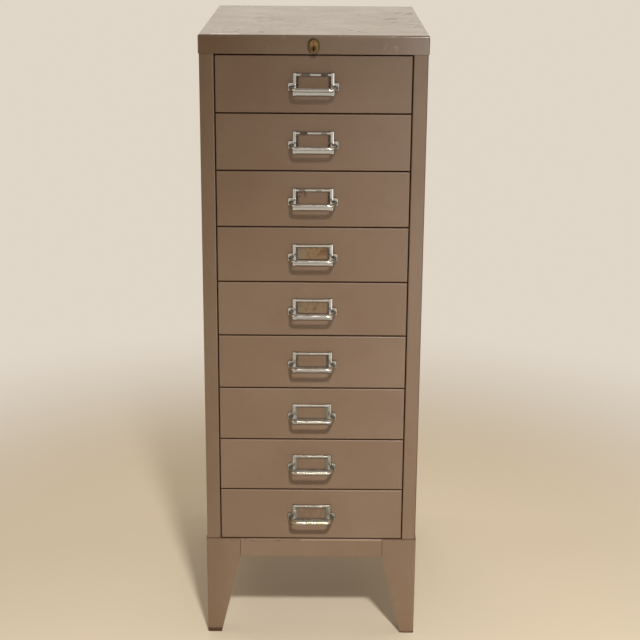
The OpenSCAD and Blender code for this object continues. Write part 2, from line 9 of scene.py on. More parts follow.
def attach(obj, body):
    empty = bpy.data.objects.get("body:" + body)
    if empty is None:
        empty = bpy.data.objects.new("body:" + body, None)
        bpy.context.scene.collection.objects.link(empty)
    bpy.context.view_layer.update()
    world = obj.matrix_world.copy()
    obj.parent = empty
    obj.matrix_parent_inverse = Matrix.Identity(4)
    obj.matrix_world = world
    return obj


mm = 0.001
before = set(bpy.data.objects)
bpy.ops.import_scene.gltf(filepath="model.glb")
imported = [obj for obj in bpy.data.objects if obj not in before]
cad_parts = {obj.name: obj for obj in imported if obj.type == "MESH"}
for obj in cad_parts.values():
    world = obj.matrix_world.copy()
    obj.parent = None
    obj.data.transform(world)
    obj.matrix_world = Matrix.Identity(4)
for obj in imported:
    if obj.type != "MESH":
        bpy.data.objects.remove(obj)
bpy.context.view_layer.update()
drawerNumbers = range(1, 10)
print("frame loaded:", len(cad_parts), "nodes")


def paintColour(red, green, blue):
    # a colour given in 0..255, straightened from the sRGB curve for the shader
    def straighten(level):
        level /= 255
        return level / 12.92 if level <= 0.04045 else ((level + 0.055) / 1.055) ** 2.4
    return (straighten(red), straighten(green), straighten(blue), 1.0)


# Shader helpers shared by the finishes

noiseMiddle = 0.5        # the value that a noise swings around
bevelSamples = 6


def plugIn(tree, step, plugs):
    # a plug is either a plain value or another step's socket
    for name, value in plugs.items():
        socket = step.inputs[name]
        if isinstance(value, bpy.types.NodeSocket):
            tree.links.new(value, socket)
        else:
            socket.default_value = value


def addStep(tree, kind, plugs=None, **settings):
    step = tree.nodes.new(kind)
    for name, value in settings.items():
        setattr(step, name, value)
    plugIn(tree, step, plugs or {})
    return step


def calc(tree, operation, first, second=0.0, clamp=False):
    return addStep(tree, "ShaderNodeMath", {0: first, 1: second},
                   operation=operation, use_clamp=clamp).outputs[0]


def plus(tree, first, second):
    return calc(tree, "ADD", first, second)


def times(tree, *factors):
    result = factors[0]
    for factor in factors[1:]:
        result = calc(tree, "MULTIPLY", result, factor)
    return result


def fade(tree, value, low, high, start=0.0, end=1.0):
    # turns low..high of a value into start..end, softly
    return addStep(tree, "ShaderNodeMapRange",
                   {"Value": value, "From Min": low, "From Max": high, "To Min": start, "To Max": end},
                   interpolation_type="SMOOTHSTEP").outputs["Result"]


def mixTint(tree, amount, base, over):
    return addStep(tree, "ShaderNodeMix", {0: amount, 6: base, 7: over}, data_type="RGBA").outputs[2]


def grain(tree, place, noise):
    return addStep(tree, "ShaderNodeTexNoise",
                   {"Vector": place, "Scale": noise["scale"], "Detail": noise.get("detail", 3.0),
                    "Roughness": noise.get("roughness", 0.55),
                    "Distortion": noise.get("distortion", 0.0)}).outputs["Fac"]


def patches(tree, place, noise, start=0.0, end=1.0):
    # start where the noise lies below its range, end where it lies above
    return fade(tree, grain(tree, place, noise), *noise["range"], start, end)


def stretched(tree, place, scale, turn=(0.0, 0.0, 0.0)):
    return addStep(tree, "ShaderNodeMapping", {"Vector": place, "Scale": scale, "Rotation": turn}).outputs[0]


def shiftedBy(tree, place, offset):
    # moves a pattern, so that no two pieces wear the same one
    return addStep(tree, "ShaderNodeMapping", {"Vector": place, "Location": offset}).outputs[0]


def roundedNormal(tree, radius):
    return addStep(tree, "ShaderNodeBevel", {"Radius": radius * mm}, samples=bevelSamples).outputs[0]


def edgeMask(tree, edge):
    # 0 on flat metal, 1 along a folded or cut edge
    soft = roundedNormal(tree, edge["radius"])
    flat = addStep(tree, "ShaderNodeNewGeometry").outputs["Normal"]
    same = addStep(tree, "ShaderNodeVectorMath", {0: soft, 1: flat}, operation="DOT_PRODUCT").outputs["Value"]
    return fade(tree, calc(tree, "SUBTRACT", 1.0, same), *edge["range"])


def cornerShadeAndDirt(tree, shadeAndDirt):
    # painted shade and dirt together: strongest where other metal is close by, in gaps, corners and pits
    near = addStep(tree, "ShaderNodeAmbientOcclusion", {"Distance": shadeAndDirt["reach"] * mm},
                   samples=shadeAndDirt["samples"])
    return fade(tree, near.outputs["AO"], *shadeAndDirt["range"], shadeAndDirt["strength"], 0.0)


def bumped(tree, height, relief, normal=None):
    plugs = {"Height": height, "Strength": relief["strength"], "Distance": relief["depth"] * mm}
    if normal is not None:
        plugs["Normal"] = normal
    return addStep(tree, "ShaderNodeBump", plugs).outputs[0]


def bandMask(tree, place, band):
    # 1 inside the box of the band's x, y and z ranges, with a soft border
    axes = addStep(tree, "ShaderNodeSeparateXYZ", {0: place}).outputs
    sides = []
    for axis in "xyz":
        least, most = band[axis]
        reach = axes[axis.upper()]
        sides.append(fade(tree, reach, (least - band["feather"]) * mm, least * mm))
        sides.append(fade(tree, reach, most * mm, (most + band["feather"]) * mm, 1.0, 0.0))
    return times(tree, *sides)


def startFinish(name):
    finish = bpy.data.materials.new(name)
    finish.use_nodes = True
    tree = finish.node_tree
    shader = tree.nodes["Principled BSDF"]
    place = addStep(tree, "ShaderNodeTexCoord").outputs["Object"]
    return finish, tree, shader, place


# Curled scratches

scratching = {
    "curlDetail": 2.0,
    "curlReach": (0.05, 0.05, 0.0),      # how far a line wanders, in metres
    "line": {"detail": 1.0, "roughness": 0.4, "distortion": 0.4},
    "core": 0.4,                         # the share of a line's width that has its full colour
    "breaks": {"scale": 46.0, "detail": 3.0, "roughness": 0.6, "range": (0.48, 0.60)},
    "thinning": {"scale": 9.0, "detail": 2.0, "range": (0.36, 0.60)},
    "roughening": 0.45,
}


def scratchPatch(tree, place, patch, colour, roughness):
    # thin lines where a warped noise crosses its middle, broken up and kept to a patch
    wander = addStep(tree, "ShaderNodeTexNoise", {"Vector": place, "Scale": patch["curl"],
                                                  "Detail": scratching["curlDetail"]}).outputs["Color"]
    bent = addStep(tree, "ShaderNodeVectorMath", {0: wander, 1: scratching["curlReach"]},
                   operation="MULTIPLY").outputs[0]
    moved = addStep(tree, "ShaderNodeVectorMath", {0: place, 1: bent}, operation="ADD").outputs[0]
    line = grain(tree, moved, dict(scratching["line"], scale=patch["scale"]))
    away = calc(tree, "ABSOLUTE", calc(tree, "SUBTRACT", line, noiseMiddle))
    thin = fade(tree, away, patch["width"] * scratching["core"], patch["width"], 1.0, 0.0)
    amount = times(tree, thin, patches(tree, place, scratching["breaks"]), bandMask(tree, place, patch),
                   patches(tree, place, scratching["thinning"]), patch["strength"])
    colour = mixTint(tree, amount, colour, patch["colour"])
    return colour, plus(tree, roughness, times(tree, amount, scratching["roughening"]))


# Enamel on the case, the drawers and the stand

enamel = {
    "colour": paintColour(126, 102, 81),
    "faded": paintColour(131, 108, 88),
    "dull": paintColour(118, 92, 69),
    # pale fold colour: painted highlight together with rubbing
    "highlightAndRub": paintColour(166, 143, 119),
    # the colour of painted shade in gaps and under the skirt, and of real dirt in joints
    "shadeAndGrime": paintColour(76, 46, 22),
    "primer": paintColour(212, 205, 190),
    "chip": paintColour(252, 246, 230),
    # the tone of the painted shade on the upper left and on the left post
    "shadeTone": paintColour(98, 74, 50),
    "bare": paintColour(92, 78, 66),
    "rust": paintColour(70, 42, 27),
    "roughness": 0.33,
    "straying": (-0.04, 0.07),           # how far the roughness strays to either side
    "specular": 0.45,
    "coatRoughness": 0.14,
    "clouds": {"scale": 3.2, "detail": 4.0, "range": (0.38, 0.66)},
    "mottle": {"scale": 38.0, "detail": 5.0, "roughness": 0.62, "range": (0.50, 0.78), "strength": 0.3},
    "sheen": {"scale": 11.0, "detail": 5.0, "roughness": 0.60, "range": (0.30, 0.75)},
    "rubs": {"stretch": (60, 60, 900), "turn": (0.2, 0.35, 0.1), "scale": 1.0, "detail": 2.0,
             "range": (0.62, 0.80), "roughening": 0.05},
    "edge": {"radius": 0.9, "range": (0.06, 0.36), "strength": 0.55},
    "worn": {"scale": 17.0, "detail": 6.0, "roughness": 0.70, "range": (0.52, 0.70)},
    "flakes": {"scale": 420.0, "detail": 3.0, "roughness": 0.70, "range": (0.42, 0.62)},
    # painted shade with some dirt, darkest in the narrow gaps between the parts
    "gapShadeAndDirt": {"reach": 4.0, "samples": 8, "range": (0.35, 0.88), "strength": 1.0, "tint": 0.92,
                "roughening": 0.3},
    "marks": {"scale": 1.0, "detail": 4.0, "roughness": 0.70, "soft": 0.05},
    "foot": {"scale": 160.0, "detail": 5.0, "roughness": 0.70, "ragged": 16.0, "feather": 2.5,
             "roughening": 0.3},
    "peel": {"scale": 900.0, "detail": 2.0, "strength": 0.05, "depth": 0.1},
    "waves": {"scale": 5.0, "detail": 1.0, "strength": 0.22, "depth": 1.2},
    "foldRadius": 0.5,
    "seedSlant": (1.0, 0.7, 1.3),        # the direction in which a seed shifts the patterns
    "firstSeed": 20.0,                   # the drawer fronts' seeds
    "seedStep": 3.7,
}


def enamelFinish(name, seed, wear, marks=(), scratches=(), footRust=0.0, gloss=0.0, coat=0.0):
    finish, tree, shader, place = startFinish(name)
    shifted = shiftedBy(tree, place, [seed * slant for slant in enamel["seedSlant"]])
    colour = mixTint(tree, patches(tree, shifted, enamel["clouds"]), enamel["colour"], enamel["faded"])
    mottle = times(tree, patches(tree, shifted, enamel["mottle"]), enamel["mottle"]["strength"])
    colour = mixTint(tree, mottle, colour, enamel["dull"])
    glossy, dull = [enamel["roughness"] - gloss + stray for stray in enamel["straying"]]
    roughness = patches(tree, shifted, enamel["sheen"], glossy, dull)

    # hand grease and fine rubs: long thin streaks of a slightly different gloss
    rubs = enamel["rubs"]
    streaks = stretched(tree, shifted, rubs["stretch"], rubs["turn"])
    roughness = plus(tree, roughness, patches(tree, streaks, rubs, 0.0, rubs["roughening"]))

    # folds painted paler as a highlight and rubbed paler by cloths and hands, then worn through in some
    # stretches
    edge = edgeMask(tree, enamel["edge"])
    colour = mixTint(tree, times(tree, edge, enamel["edge"]["strength"]), colour, enamel["highlightAndRub"])
    worn = times(tree, edge, patches(tree, shifted, enamel["worn"]),
                 patches(tree, shifted, enamel["flakes"]), wear)
    colour = mixTint(tree, worn, colour, enamel["bare"])

    # painted shade in the gaps and corners, together with the dirt kept there
    gapShadeAndDirt = enamel["gapShadeAndDirt"]
    shadeAndGrime = cornerShadeAndDirt(tree, gapShadeAndDirt)
    colour = mixTint(tree, times(tree, shadeAndGrime, gapShadeAndDirt["tint"]), colour, enamel["shadeAndGrime"])
    roughness = plus(tree, roughness, times(tree, shadeAndGrime, gapShadeAndDirt["roughening"]))

    for scratch in scratches:
        colour, roughness = scratchPatch(tree, place, scratch, colour, roughness)

    for mark in marks:
        soft = mark.get("soft", enamel["marks"]["soft"])
        noise = grain(tree, stretched(tree, place, mark["stretch"]), enamel["marks"])
        speck = fade(tree, noise, mark["cut"] - soft, mark["cut"] + soft)
        amount = times(tree, bandMask(tree, place, mark), speck, mark["strength"])
        colour = mixTint(tree, amount, colour, mark["colour"])

    if footRust:
        # rust up to a ragged height above the floor
        foot = enamel["foot"]
        height = addStep(tree, "ShaderNodeSeparateXYZ", {0: place}).outputs["Z"]
        uneven = times(tree, calc(tree, "SUBTRACT", grain(tree, place, foot), noiseMiddle),
                       foot["ragged"] * mm)
        rusty = fade(tree, plus(tree, height, uneven), footRust * mm, (footRust + foot["feather"]) * mm,
                     1.0, 0.0)
        colour = mixTint(tree, rusty, colour, enamel["rust"])
        roughness = plus(tree, roughness, times(tree, rusty, foot["roughening"]))

    # the fine skin of sprayed paint, over the slow waves of thin sheet
    peel, waves = enamel["peel"], enamel["waves"]
    normal = bumped(tree, grain(tree, place, peel), peel, roundedNormal(tree, enamel["foldRadius"]))
    normal = bumped(tree, grain(tree, shifted, waves), waves, normal)
    plugIn(tree, shader, {"Base Color": colour, "Roughness": roughness, "Normal": normal,
                          "Specular IOR Level": enamel["specular"], "Coat Weight": coat,
                          "Coat Roughness": enamel["coatRoughness"]})
    return finish


# A mark is an uneven patch of colour in a box: stretch is the noise's scale along each axis, and the
# mark shows where that noise is over its cut.

capTop = (1145, 1149)        # heights that take in the cap's top face

# painted shade: a soft warm darkening over the upper left of the front
upperLeftShade = {"x": (-205, -130), "y": (-256, -249), "z": (860, 1150), "feather": 130, "stretch": (5, 5, 5),
             "cut": 0.05, "strength": 0.20, "colour": enamel["shadeTone"]}

capMarks = [
    upperLeftShade,
    # painted shade in the skirt's right corner, where the fold turns away from the light
    {"x": (198, 200), "y": (-256, -242), "z": (1112, 1147), "feather": 0.8, "stretch": (20, 20, 20),
     "cut": 0.20, "strength": 0.75, "colour": enamel["shadeAndGrime"]},
    # the bright chipped line just behind the front edge, towards the left
    {"x": (-174, -147), "y": (-245, -236), "z": capTop, "feather": 6, "stretch": (70, 150, 200),
     "cut": 0.47, "soft": 0.03, "strength": 1.0, "colour": enamel["chip"]},
    {"x": (-140, -131), "y": (-244, -237), "z": capTop, "feather": 6, "stretch": (110, 150, 200),
     "cut": 0.45, "soft": 0.03, "strength": 1.0, "colour": enamel["chip"]},
    {"x": (-176, -130), "y": (-246, -240), "z": capTop, "feather": 2, "stretch": (110, 90, 100),
     "cut": 0.41, "soft": 0.04, "strength": 1.0, "colour": enamel["chip"]},
    # a dull smudge towards the rear left
    {"x": (-110, -40), "y": (80, 180), "z": capTop, "feather": 80, "stretch": (14, 20, 20),
     "cut": 0.50, "soft": 0.22, "strength": 0.22, "colour": enamel["primer"]},
    # two small groups of pale ticks on the skirt, towards the right
    {"x": (119, 124), "y": (-254, -250), "z": (1124, 1136), "feather": 2, "stretch": (500, 200, 190),
     "cut": 0.58, "strength": 0.22, "colour": enamel["primer"]},
    {"x": (139, 144), "y": (-254, -250), "z": (1119, 1128), "feather": 2, "stretch": (420, 200, 260),
     "cut": 0.58, "strength": 0.20, "colour": enamel["primer"]},
]

capScratches = [
    {"x": (-190, -40), "y": (-200, 40), "z": capTop, "feather": 30, "curl": 9.0, "scale": 15.0,
     "width": 0.040, "strength": 0.9, "colour": enamel["bare"]},
    {"x": (85, 190), "y": (-200, 130), "z": capTop, "feather": 30, "curl": 11.0, "scale": 13.0,
     "width": 0.044, "strength": 1.0, "colour": enamel["bare"]},
    {"x": (-195, 195), "y": (-245, 270), "z": capTop, "feather": 10, "curl": 5.0, "scale": 24.0,
     "width": 0.020, "strength": 0.4, "colour": enamel["bare"]},
]

# marks on single drawer fronts
frontMarks = {
    # painted shadow of the lock as a dark smudge under it, with some grime, and the painted shadow of the
    # cap's skirt as a dark line under it
    1: [{"x": (-4, 1), "y": (-254, -249), "z": (1110, 1114), "feather": 4.5, "stretch": (60, 60, 60),
         "cut": 0.20, "strength": 0.75, "colour": enamel["shadeAndGrime"]},
        {"x": (-200, 200), "y": (-254, -249), "z": (1111.2, 1114), "feather": 0.5, "stretch": (30, 60, 60),
         "cut": 0.20, "strength": 0.9, "colour": enamel["shadeAndGrime"]}],
    # small brown stains in the window's upper left corner
    3: [{"x": (-24, -12), "y": (-252, -250), "z": (863, 872), "feather": 2, "stretch": (330, 200, 330),
         "cut": 0.52, "strength": 0.75, "colour": enamel["rust"]}],
    # rust run down behind the lowest frame
    9: [{"x": (-24, 24), "y": (-252, -250), "z": (236, 262), "feather": 2, "stretch": (190, 200, 90),
         "cut": 0.52, "soft": 0.1, "strength": 0.25, "colour": enamel["rust"]}],
}

# painted shade: the left front post and leg a little darker than the drawers
leftPostShade = {"x": (-205, -194), "y": (-256, -236), "z": (-5, 1150), "feather": 52, "stretch": (5, 5, 5),
            "cut": 0.05, "strength": 0.30, "colour": enamel["shadeTone"]}

caseMarks = [
    leftPostShade,
    # painted shade: a thin dark line down the case's right front edge, where the fold turns away
    {"x": (196.6, 198.5), "y": (-253, -242), "z": (201, 1114), "feather": 0.8, "stretch": (20, 20, 8),
     "cut": 0.30, "strength": 0.65, "colour": enamel["shadeAndGrime"]},
]

legJoint = 135        # from the middle to each joint between the front rail and a leg
jointHalf = 0.2       # half the width of the dirt in it

standMarks = [
    # dirt and rust along the stand's upper fold, where the case sits
    {"x": (-205, 205), "y": (-300, 300), "z": (198.4, 200), "feather": 0.5, "stretch": (30, 30, 60),
     "cut": 0.20, "strength": 0.78, "colour": enamel["shadeAndGrime"]},
    {"x": (-200, -60), "y": (-256, -240), "z": (194, 200), "feather": 2, "stretch": (70, 300, 160),
     "cut": 0.58, "strength": 0.7, "colour": enamel["rust"]},
    {"x": (60, 200), "y": (-256, -240), "z": (196, 200), "feather": 1.5, "stretch": (90, 300, 200),
     "cut": 0.60, "strength": 0.5, "colour": enamel["rust"]},
    # a pale line on the rail's upper fold
    {"x": (-20, 133), "y": (-254, -249), "z": (195.6, 197.6), "feather": 0.8, "stretch": (24, 30, 60),
     "cut": 0.36, "strength": 0.5, "colour": enamel["highlightAndRub"]},
]
for joint in (-legJoint, legJoint):
    # dirt in the joint between rail and leg
    standMarks.append({"x": (joint - jointHalf, joint + jointHalf), "y": (-254, -249), "z": (150, 197),
                       "feather": 0.7, "stretch": (30, 30, 60), "cut": 0.20, "strength": 0.8,
                       "colour": enamel["shadeAndGrime"]})
standMarks.append(leftPostShade)

caseEnamel = enamelFinish("case enamel", seed=0.0, wear=0.7, marks=caseMarks)
capEnamel = enamelFinish("cap enamel", seed=3.1, wear=0.8, marks=capMarks, scratches=capScratches,
                         gloss=0.10, coat=0.7)
standEnamel = enamelFinish("stand enamel", seed=6.3, wear=0.8, marks=standMarks, footRust=1.0)
leftFootEnamel = enamelFinish("left foot enamel", seed=8.9, wear=0.8, marks=standMarks, footRust=7.0)
trayEnamel = enamelFinish("tray enamel", seed=12.4, wear=0.5)
print("enamel mixed for the case, cap, stand and trays")


# Bright plating on the label frames and pulls

plating = {
    "frontY": -250.9,        # the drawer fronts' outer face
    "frameTop": 69.6,        # the frame's upper edge over the drawer's lower edge
    "firstDrawer": 1012.8,   # drawer 1's lower edge, over the floor
    "pitch": 101.6,          # from one drawer to the next
    "colour": paintColour(213, 210, 204),
    "warm": paintColour(184, 170, 134),
    "dull": paintColour(164, 157, 138),
    "spot": paintColour(88, 66, 46),
    # the colour of the painted shade and dark reflections, and of grime on the cards
    "shadeAndGrime": paintColour(54, 38, 24),
    "roughness": 0.09,
    "agedRoughness": 0.2,    # what full age adds to it
    "straying": (-0.02, 0.04),
    "tarnishStraying": 0.1,
    "dirtRoughness": 0.5,
    "specular": 0.2,
    "haze": {"scale": 90.0, "detail": 2.0, "roughness": 0.5, "range": (0.20, 0.55), "sheen": (0.30, 0.75)},
    "spots": {"scale": 520.0, "detail": 4.0, "roughness": 0.7, "range": (0.60, 0.70)},
    # painted shade with some dirt in the pits, darker where other metal is near
    "pits": {"reach": 3.0, "samples": 8, "range": (0.20, 0.72), "strength": 0.9},
    "unevenness": {"scale": 300.0, "detail": 3.0, "range": (0.20, 0.60), "least": 0.75},
    "relief": {"strength": 0.04, "depth": 0.10},
    "foldRadius": 0.35,
    "frameSeed": 2.3,        # each drawer's frame and loop shift their patterns by n of these
    "loopSeed": 3.1,
}


def chromeFinish(name, tint, tarnish, age, seed, shades):
    # age turns the plating towards the tint, tarnish is how strong its dark spots are
    finish, tree, shader, place = startFinish(name)
    shifted = shiftedBy(tree, place, (seed, seed, seed))
    haze = grain(tree, shifted, plating["haze"])
    aged = times(tree, fade(tree, haze, *plating["haze"]["range"]), age)
    colour = mixTint(tree, aged, plating["colour"], plating[tint])
    spots = times(tree, patches(tree, shifted, plating["spots"]), tarnish)
    colour = mixTint(tree, spots, colour, plating["spot"])

    # painted shade with some dirt in the pits, and painted shade and dark reflections in the bands
    shadeAndDirt = cornerShadeAndDirt(tree, plating["pits"])
    uneven = patches(tree, place, plating["unevenness"], plating["unevenness"]["least"], 1.0)
    for shade in shades:
        shaded = times(tree, bandMask(tree, place, shade), uneven, shade["strength"])
        shadeAndDirt = calc(tree, "MAXIMUM", shadeAndDirt, shaded)
    colour = mixTint(tree, shadeAndDirt, colour, plating["shadeAndGrime"])
    spoilt = calc(tree, "MAXIMUM", spots, shadeAndDirt)

    sheen = plating["roughness"] + plating["agedRoughness"] * age
    glossy, dull = [sheen + stray for stray in plating["straying"]]
    dull += plating["tarnishStraying"] * tarnish
    roughness = plus(tree, fade(tree, haze, *plating["haze"]["sheen"], glossy, dull),
                     times(tree, spoilt, plating["dirtRoughness"]))
    normal = bumped(tree, haze, plating["relief"], roundedNormal(tree, plating["foldRadius"]))
    plugIn(tree, shader, {"Base Color": colour, "Roughness": roughness, "Normal": normal,
                          "Metallic": calc(tree, "SUBTRACT", 1.0, spoilt, clamp=True),
                          "Specular IOR Level": plating["specular"]})
    return finish


# how each drawer's plating has aged, from the top down: the pull's dark spots and yellowing,
# the label frame's dullness, and how dark the painted shade in the frame's lips is
platingAge = {
    1: {"tarnish": 0.20, "yellow": 0.02, "dull": 0.02, "lipShade": 1.00},
    2: {"tarnish": 0.20, "yellow": 0.02, "dull": 0.02, "lipShade": 1.00},
    3: {"tarnish": 0.25, "yellow": 0.10, "dull": 0.15, "lipShade": 1.00},
    4: {"tarnish": 0.20, "yellow": 0.12, "dull": 0.20, "lipShade": 0.93},
    5: {"tarnish": 0.20, "yellow": 0.15, "dull": 0.30, "lipShade": 0.93},
    6: {"tarnish": 0.20, "yellow": 0.25, "dull": 0.45, "lipShade": 0.93},
    7: {"tarnish": 0.15, "yellow": 0.40, "dull": 0.60, "lipShade": 0.66},
    8: {"tarnish": 0.15, "yellow": 0.45, "dull": 0.65, "lipShade": 0.66},
    9: {"tarnish": 0.25, "yellow": 0.85, "dull": 0.80, "lipShade": 0.66},
}

# painted dark reflections on the upper bars of the first frames: from, to, how dark
barReflections = {
    1: ((-22.5, -6.0, 0.85), (13.0, 25.0, 0.95)),
    2: ((-23.5, -10.5, 0.97), (14.0, 23.0, 0.75)),
    3: ((-24.0, -14.0, 0.80), (6.0, 15.0, 0.60)),
}

# bands of painted shade and dark reflection: y counts from the drawer front's face, z from the frame's upper
# edge
shadeBands = {
    # painted shade on the lips, steps and ear pits, which lie nearer the drawer front than the bright faces
    "lipShade": {"x": (-60, 60), "y": (-2.4, 2), "z": (-60, 5), "feather": 0.25},
    # where the painted dark reflections on the first upper bars lie
    "upper bar": {"y": (-5, 0), "z": (-4.8, 1), "feather": 1.2},
    # the painted shadow of the pull on the lower bar, or else painted shade along the window's lower edge
    "lower bar": {"x": (-34, 34), "y": (-5, -3), "z": (-33.2, -31.2), "feather": 0.5, "strength": 0.75},
    "window edge": {"x": (-34, 34), "y": (-5, 1), "z": (-31.5, -28.6), "feather": 0.5, "strength": 0.85},
    # painted shade on the arms behind the pull's bar, and a darker stretch along the bar's upper edge towards
    # the left
    "arms": {"x": (-60, 60), "y": (-17, 2), "z": (-60, 0), "feather": 3.0, "strength": 0.92},
    "bar edge": {"x": (-26, -14), "y": (-28.5, -20), "z": (-23.6, 0), "feather": 1.5, "strength": 0.70},
}
lastBarShadow = 5        # down to this drawer the painted shadow lies on the lower bar


def frameTopZ(n):
    return plating["firstDrawer"] + plating["frameTop"] - (n - 1) * plating["pitch"]


def bandOn(n, bandName, **changes):
    # one of the bands, moved to drawer n
    band = dict(shadeBands[bandName], **changes)
    band["y"] = [plating["frontY"] + out for out in band["y"]]
    band["z"] = [frameTopZ(n) + up for up in band["z"]]
    return band


def frameShades(n):
    shades = [bandOn(n, "lipShade", strength=platingAge[n]["lipShade"]),
              bandOn(n, "lower bar" if n <= lastBarShadow else "window edge")]
    for start, end, strength in barReflections.get(n, ()):
        shades.append(bandOn(n, "upper bar", x=(start, end), strength=strength))
    return shades


def loopShades(n):
    return [bandOn(n, "arms"), bandOn(n, "bar edge")]


frameChrome = {}
for n, age in platingAge.items():
    frameChrome[n] = chromeFinish("frame chrome %d" % n, "dull", age["tarnish"], age["dull"],
                                  n * plating["frameSeed"], frameShades(n))
loopChrome = {}
for n, age in platingAge.items():
    loopChrome[n] = chromeFinish("loop chrome %d" % n, "warm", age["tarnish"], age["yellow"],
                                 n * plating["loopSeed"], loopShades(n))
print("plating mixed for", len(frameChrome), "label frames and pulls")


# Lock brass, dark plate, and the plain steel inside

agedMetals = {
    "lock brass": {"colour": paintColour(142, 110, 76), "stain": paintColour(80, 56, 34),
                   "roughness": 0.34, "cloudScale": 260.0, "staining": 0.7},
    "plug brass": {"colour": paintColour(104, 78, 52), "stain": paintColour(54, 38, 24),
                   "roughness": 0.38, "cloudScale": 300.0, "staining": 0.7},
    "lock plate bronze": {"colour": paintColour(96, 82, 48), "stain": paintColour(52, 42, 26),
                          "roughness": 0.40, "cloudScale": 300.0, "staining": 0.6},
    "runner steel": {"colour": paintColour(172, 172, 166), "stain": paintColour(112, 104, 92),
                     "roughness": 0.36, "cloudScale": 55.0, "staining": 0.5},
}
metalWear = {
    "clouds": {"detail": 5.0, "roughness": 0.65, "range": (0.38, 0.68)},
    "pits": {"reach": 2.0, "samples": 16, "range": (0.12, 0.70), "strength": 0.9},
    "relief": {"strength": 0.1, "depth": 0.2},
    "foldRadius": 0.3,
    "roughening": 0.22,
}


def agedMetal(name, metal):
    finish, tree, shader, place = startFinish(name)
    clouds = patches(tree, place, dict(metalWear["clouds"], scale=metal["cloudScale"]))
    stained = calc(tree, "MAXIMUM", times(tree, clouds, metal["staining"]),
                   cornerShadeAndDirt(tree, metalWear["pits"]))
    roughness = plus(tree, metal["roughness"], times(tree, stained, metalWear["roughening"]))
    normal = bumped(tree, clouds, metalWear["relief"], roundedNormal(tree, metalWear["foldRadius"]))
    plugIn(tree, shader, {"Base Color": mixTint(tree, stained, metal["colour"], metal["stain"]),
                          "Metallic": 1.0, "Roughness": roughness, "Normal": normal})
    return finish


metals = {name: agedMetal(name, metal) for name, metal in agedMetals.items()}


# The CAD nodes take their finishes

def finishNodes(finish, *nodeNames):
    for nodeName in nodeNames:
        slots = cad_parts[nodeName].data.materials
        slots.clear()
        slots.append(finish)


finishNodes(caseEnamel, *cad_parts)
finishNodes(capEnamel, "top_cap")
finishNodes(standEnamel, "front_stand_rail", "rear_stand_rail", "left_stand_rail", "right_stand_rail",
            "front_right_leg", "rear_left_leg", "rear_right_leg")
finishNodes(leftFootEnamel, "front_left_leg")
finishNodes(metals["runner steel"], "left_runners", "right_runners", "spindle_bracket", "lock_bar",
            "lock_bar_guides", "lock_spindle", "stand_bolts")
finishNodes(metals["lock brass"], "lock_body")
finishNodes(metals["plug brass"], "lock_plug")
finishNodes(metals["lock plate bronze"], "lock_plate")
for n in drawerNumbers:
    seed = enamel["firstSeed"] + enamel["seedStep"] * n
    # each front also takes the painted shade over the upper left, and its own marks
    frontEnamel = enamelFinish("drawer %d enamel" % n, seed=seed, wear=0.7,
                               marks=[upperLeftShade] + frontMarks.get(n, []))
    finishNodes(frontEnamel, "drawer_%d_front" % n)
    finishNodes(trayEnamel, "drawer_%d_tray" % n)
    finishNodes(frameChrome[n], "drawer_%d_label_frame" % n)
    finishNodes(loopChrome[n], "drawer_%d_pull_loop" % n)
print("finishes given to the CAD nodes")


# The two old cards still in their frames, blank and stained

labelCards = {
    4: {"paper": paintColour(144, 119, 91), "stain": paintColour(106, 78, 50),
        "pale": paintColour(134, 122, 106), "stainFrom": 0.46, "specks": 0.35,
        "bow": 0.42, "lean": 0.12, "seed": 4.0},
    5: {"paper": paintColour(138, 116, 92), "stain": paintColour(84, 58, 36),
        "pale": paintColour(134, 118, 98), "stainFrom": 0.51, "specks": 0.85,
        "bow": 0.36, "lean": -0.10, "seed": 9.0},
}
cardSheet = {
    "halfWidth": 34.6,
    "height": 27.4,
    "thickness": 0.28,
    "fromTop": 1.2,                      # from the frame's upper edge down to the card's
    "offFront": 0.25,                    # from the drawer front's face out to the card
    "edgeBow": 0.6,                      # the share of the bow left at the upper and lower edges
    "fray": ((0.18, 9.1), (0.10, 31.0)),  # heights and frequencies of the upper edge's waves
    "across": 40,                        # faces across and down
    "down": 18,
}
cardPaper = {
    "fibre": {"scale": 420.0, "detail": 4.0, "roughness": 0.60, "range": (0.45, 0.75), "tint": 0.25},
    "blotch": {"scale": 85.0, "detail": 4.0, "roughness": 0.62, "distortion": 0.4},
    "specks": {"scale": 240.0, "detail": 3.0, "roughness": 0.60, "range": (0.56, 0.64)},
    "paleFrom": -24, "paleTo": -4,       # across the card
    "paleness": 0.8,
    "stainFrom": 26, "stainTo": 8,       # below the card's upper edge
    "stainSpread": 0.16,
    "leastStain": 0.35,
    "stainStrength": 0.85,
    "specksFrom": 9, "specksTo": 5,      # below the card's upper edge
    "relief": {"strength": 0.25, "depth": 0.15},
    "roughness": 0.85,
    "specular": 0.25,
}


